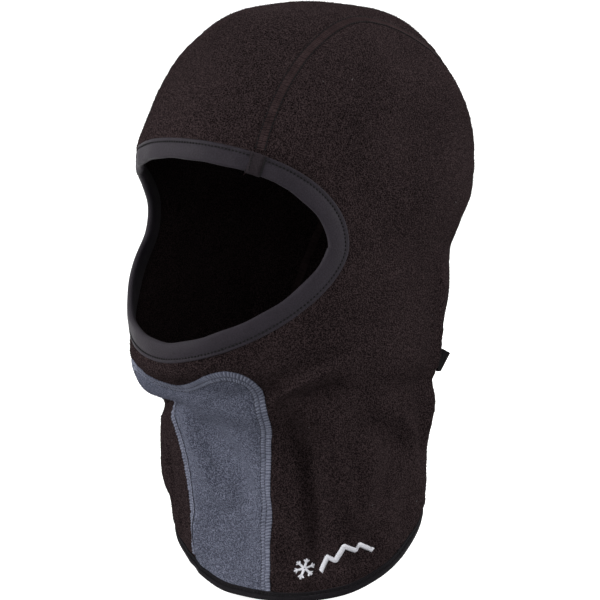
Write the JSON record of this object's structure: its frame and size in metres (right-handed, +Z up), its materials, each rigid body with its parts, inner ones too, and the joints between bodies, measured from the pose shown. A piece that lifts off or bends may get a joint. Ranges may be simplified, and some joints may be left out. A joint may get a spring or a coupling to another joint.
{
  "type": "balaclava",
  "caption": "Close-fitting fleece hood with a bound oval face opening, a contrasting throat panel and a skirt that covers the neck.",
  "frame": {"origin": "inside face of the fleece at the top of the crown, where the top of the wearer's head touches", "axes": "+Z up, face opening towards -Y, wearer's left towards +X"},
  "size_m": [0.159, 0.233, 0.3299],
  "materials": {
    "black_fleece": "brushed microfleece, matt with a short nap",
    "grey_fleece": "brushed microfleece, blue-grey with a short nap",
    "binding_tape": "smooth knitted stretch tape, slight sheen",
    "hem_tape": "smooth knitted stretch tape, folded over the hem",
    "black_overlock": "flat overlocked seam in black thread",
    "grey_overlock": "flat overlocked seam in grey thread",
    "white_embroidery": "satin stitch in glossy white thread",
    "tab_tape": "woven tape, folded double"
  },
  "bodies": {
    "hood": {"centre_panel": "black_fleece", "side_and_chin_panel": "black_fleece", "throat_panel": "grey_fleece", "face_binding": "binding_tape", "hem_binding": "hem_tape", "left_crown_seam": "black_overlock", "right_crown_seam": "black_overlock", "throat_seam": "grey_overlock", "snowflake_embroidery": "white_embroidery", "mountain_embroidery": "white_embroidery"},
    "tab": {"seam_tab": "tab_tape"}
  },
  "joints": [
    {"name": "seam_tab_flap", "type": "hinge", "parent": "hood", "child": "tab", "pos_m": [0.06285, 0.0582, -0.20495], "axis": [-0.0415, -0.0868, -0.9954], "range_deg": [-15, 60], "stiffness_Nm_per_rad": 0.0002}
  ]
}
